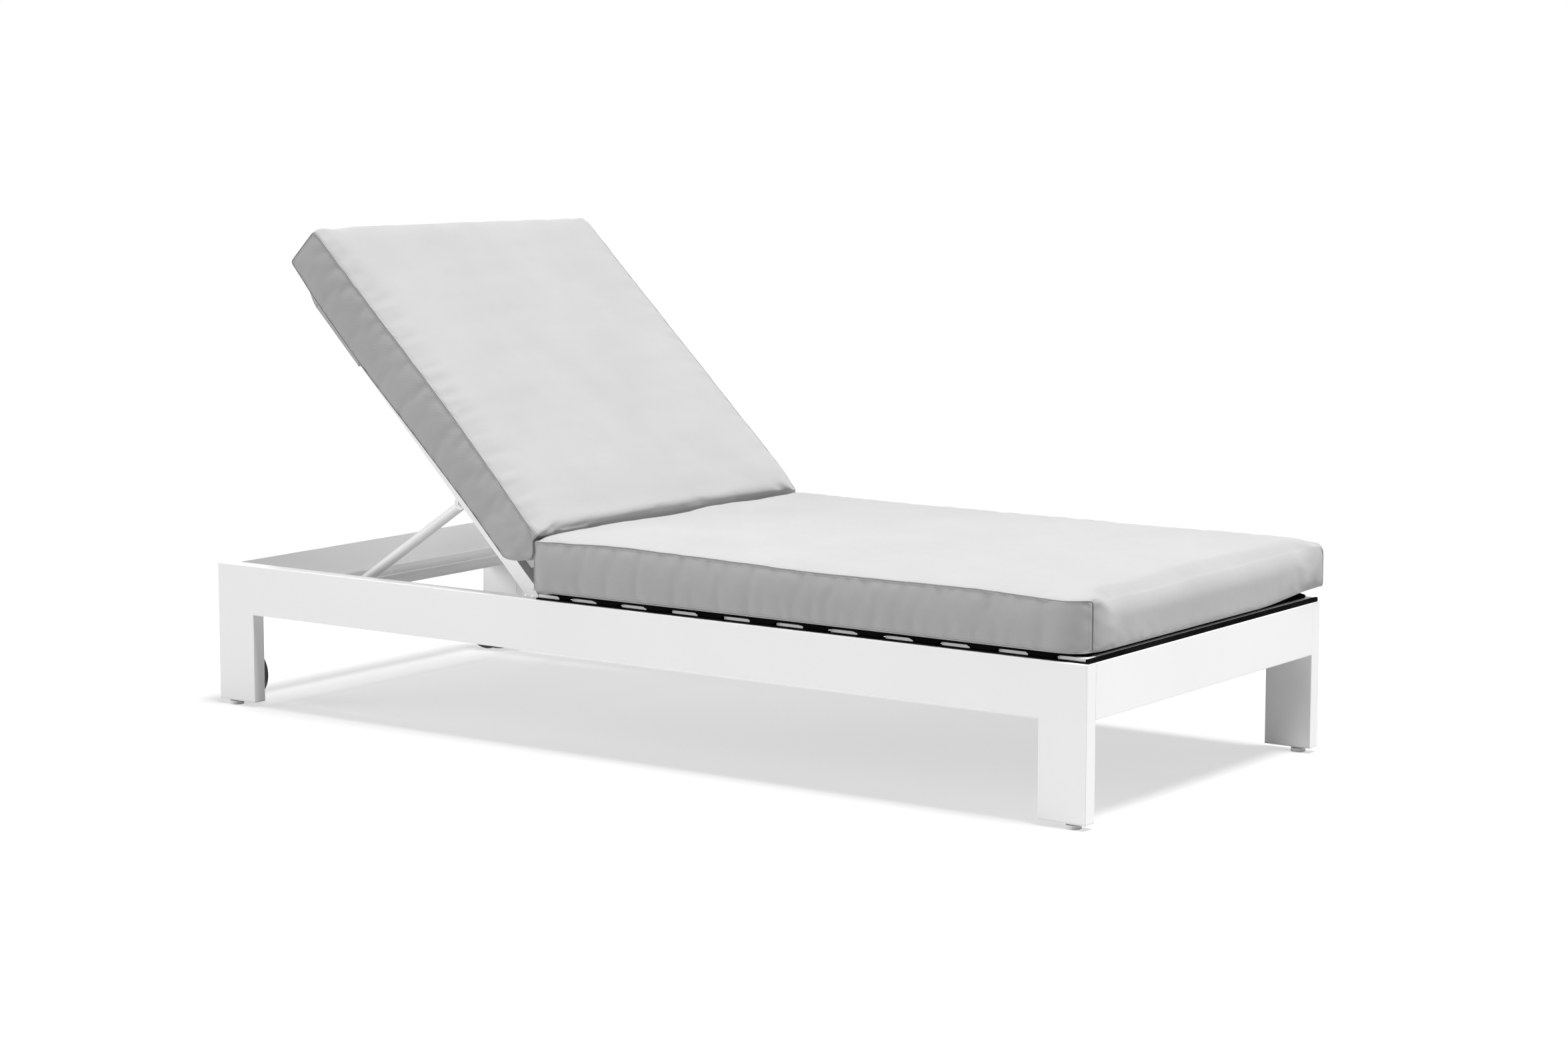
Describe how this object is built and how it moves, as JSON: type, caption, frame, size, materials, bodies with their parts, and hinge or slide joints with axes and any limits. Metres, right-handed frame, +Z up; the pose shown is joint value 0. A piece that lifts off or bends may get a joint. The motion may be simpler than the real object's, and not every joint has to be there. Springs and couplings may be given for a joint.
{
  "type": "adjustable lounger",
  "caption": "Adjustable lounger with a flat tube frame on legs, a hinged back held by a prop on notched racks, boxed cushions and head-end wheels.",
  "frame": {"origin": "centre of the overall box on the floor, in the pictured pose with the back raised", "axes": "+X runs from the head end to the foot end, +Y across to the far side, +Z up"},
  "size_m": [2.079, 0.855, 0.9652],
  "materials": {
    "frame_paint": "satin",
    "cushion_cloth": "matte",
    "base_cloth": "matte",
    "strip_rubber": "matte",
    "fastener_steel": "satin",
    "bush_nylon": "matte",
    "plug_plastic": "satin",
    "cap_plastic": "satin",
    "tyre_rubber": "matte",
    "hub_plastic": "satin"
  },
  "bodies": {
    "frame": {"side_rail_near": "frame_paint", "side_rail_far": "frame_paint", "head_rail": "frame_paint", "foot_rail": "frame_paint", "leg_near_head": "frame_paint", "leg_near_foot": "frame_paint", "leg_far_head": "frame_paint", "leg_far_foot": "frame_paint", "leg_plugs": "plug_plastic", "leg_glides": "plug_plastic", "head_cross_tube": "frame_paint", "rail_strips": "strip_rubber", "seat_end_slat": "frame_paint", "seat_slat_1": "frame_paint", "seat_slat_2": "frame_paint", "seat_slat_3": "frame_paint", "seat_slat_4": "frame_paint", "seat_slat_5": "frame_paint", "seat_slat_6": "frame_paint", "seat_slat_7": "frame_paint", "seat_slat_8": "frame_paint", "seat_slat_9": "frame_paint", "seat_slat_10": "frame_paint", "slat_screws": "fastener_steel", "seat_underside": "base_cloth", "seat_cushion": "cushion_cloth", "hinge_plates": "frame_paint", "hinge_pins": "fastener_steel", "axle_washers": "fastener_steel", "cap_nuts": "fastener_steel", "frame_screws": "fastener_steel", "rack_near": "frame_paint", "rack_far": "frame_paint", "wheel_axles": "fastener_steel"},
    "backrest": {"hinge_bushes": "bush_nylon", "back_tube_near": "frame_paint", "back_tube_far": "frame_paint", "back_top_tube": "frame_paint", "back_bottom_tube": "frame_paint", "back_plugs": "cap_plastic", "back_slat_1": "frame_paint", "back_slat_2": "frame_paint", "back_slat_3": "frame_paint", "back_slat_4": "frame_paint", "back_slat_5": "frame_paint", "back_slat_6": "frame_paint", "prop_brackets": "frame_paint", "prop_pivot_bolts": "fastener_steel", "prop_pivot_washers": "fastener_steel", "prop_pivot_nuts": "fastener_steel"},
    "prop": {"prop_arm_near": "frame_paint", "prop_arm_far": "frame_paint", "prop_foot_bar": "frame_paint", "prop_end_caps": "cap_plastic"},
    "back_pad": {"back_cushion": "cushion_cloth", "cushion_hood": "cushion_cloth"},
    "wheel_near": {"wheel_tyre_near": "tyre_rubber", "wheel_hub_near": "hub_plastic"},
    "wheel_far": {"wheel_tyre_far": "tyre_rubber", "wheel_hub_far": "hub_plastic"}
  },
  "joints": [
    {"name": "backrest_recline", "type": "hinge", "parent": "frame", "child": "backrest", "pos_m": [-0.2075, 0, 0.289], "axis": [0, 1, 0], "range_deg": [-45, 0]},
    {"name": "prop_swing", "type": "hinge", "parent": "backrest", "child": "prop", "pos_m": [-0.41468, 0, 0.45093], "axis": [0, 1, 0], "range_deg": [0, 80]},
    {"name": "back_cushion_slide", "type": "slide", "parent": "backrest", "child": "back_pad", "axis": [-0.7071, 0, 0.7071], "range_m": [-0.09, 0]},
    {"name": "wheel_spin_near", "type": "hinge", "parent": "frame", "child": "wheel_near", "pos_m": [-0.9835, -0.3827, 0.0584], "axis": [0, 1, 0], "continuous": true},
    {"name": "wheel_spin_far", "type": "hinge", "parent": "frame", "child": "wheel_far", "pos_m": [-0.9835, 0.3827, 0.0584], "axis": [0, 1, 0], "continuous": true}
  ],
  "couplings": [
    {"joint": "prop_swing", "follows": "backrest_recline", "ratio": -1.752},
    {"joint": "back_cushion_slide", "follows": "backrest_recline", "m_per_rad": 0.11459}
  ]
}
